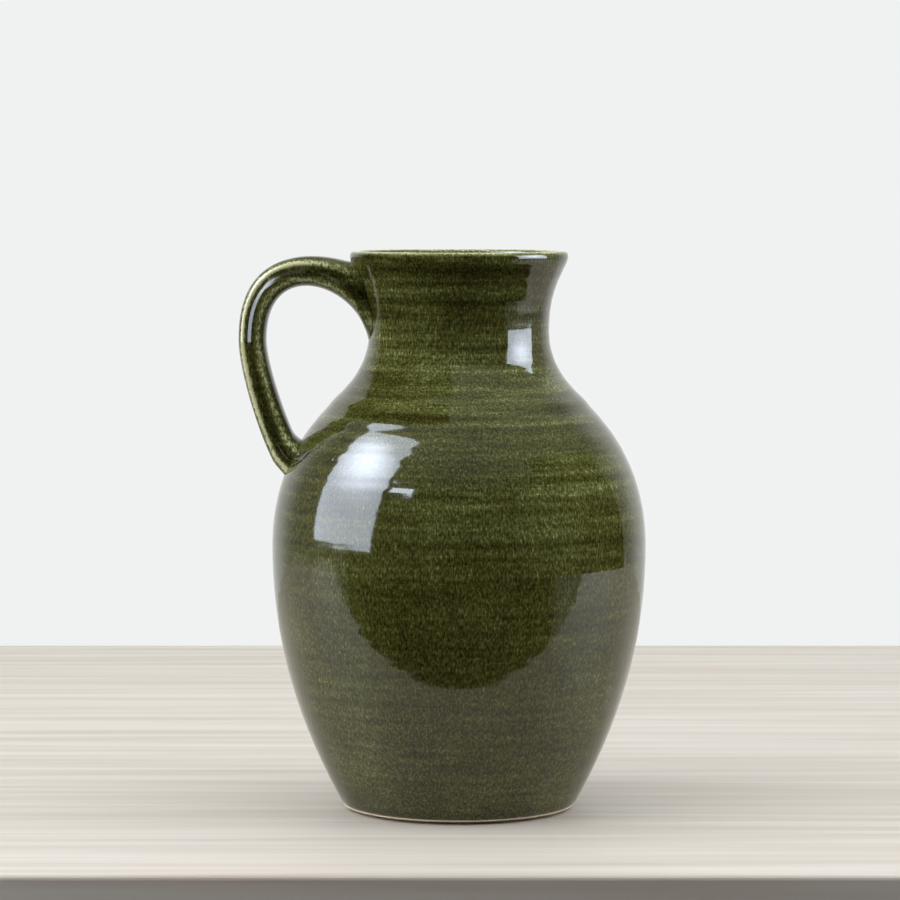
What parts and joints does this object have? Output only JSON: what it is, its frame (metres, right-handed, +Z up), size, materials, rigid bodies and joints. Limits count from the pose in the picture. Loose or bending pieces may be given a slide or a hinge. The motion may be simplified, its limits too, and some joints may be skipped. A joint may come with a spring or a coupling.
{
  "type": "ceramic pitcher",
  "caption": "Wheel-thrown stoneware pitcher with a rounded belly, narrow neck, flared rim and one pulled handle, glazed inside and out.",
  "frame": {"origin": "middle of the foot ring, on the plane it stands on", "axes": "+Z up along the turning axis of the jug; the handle points along -X; +Y is the far side"},
  "size_m": [0.1893, 0.1742, 0.26],
  "materials": {
    "stoneware": "matt fired buff stoneware",
    "joint_slip": "matt fired slip",
    "outside_glaze": "glossy olive green glaze",
    "liner_glaze": "glossy olive green liner glaze"
  },
  "bodies": {
    "root": {"thrown_body": "stoneware", "pulled_handle": "stoneware", "upper_joint_slip": "joint_slip", "lower_joint_slip": "joint_slip", "upper_joint_coil": "stoneware", "lower_joint_coil": "stoneware", "outside_glaze": "outside_glaze", "liner_glaze": "liner_glaze", "handle_glaze": "outside_glaze"}
  },
  "joints": []
}
